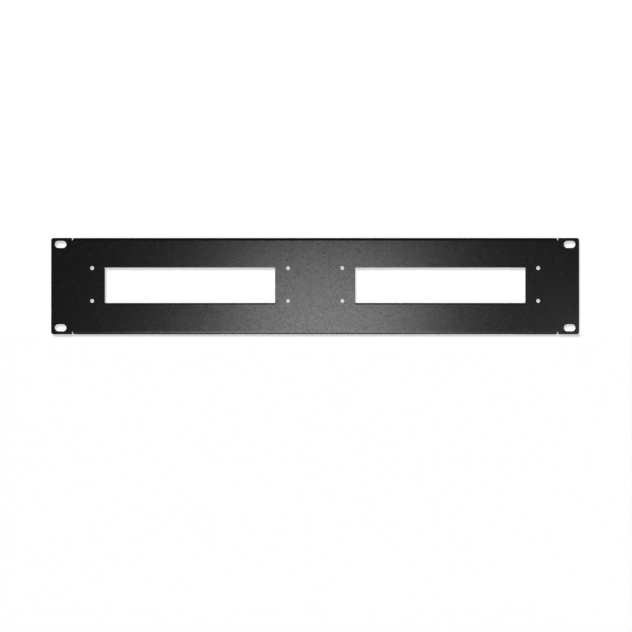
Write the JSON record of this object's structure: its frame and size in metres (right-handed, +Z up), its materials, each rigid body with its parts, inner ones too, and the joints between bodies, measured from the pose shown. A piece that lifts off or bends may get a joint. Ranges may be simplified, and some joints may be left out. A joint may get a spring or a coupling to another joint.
{
  "type": "rack front panel",
  "caption": "Flat black rack panel with folded top and bottom flanges, slotted ears and wide windows for modules that screw on from behind.",
  "frame": {"origin": "middle of the four rack slots, on the back of the ears, which seats against the rack's rails", "axes": "+X along the width, to the right as seen from the front; +Y into the rack, away from the front face; +Z up"},
  "size_m": [0.4826, 0.015, 0.0882],
  "materials": {
    "black_powder_coat": "satin black powder coat with a fine texture, on steel sheet"
  },
  "bodies": {
    "root": {"front_panel": "black_powder_coat"}
  },
  "joints": []
}
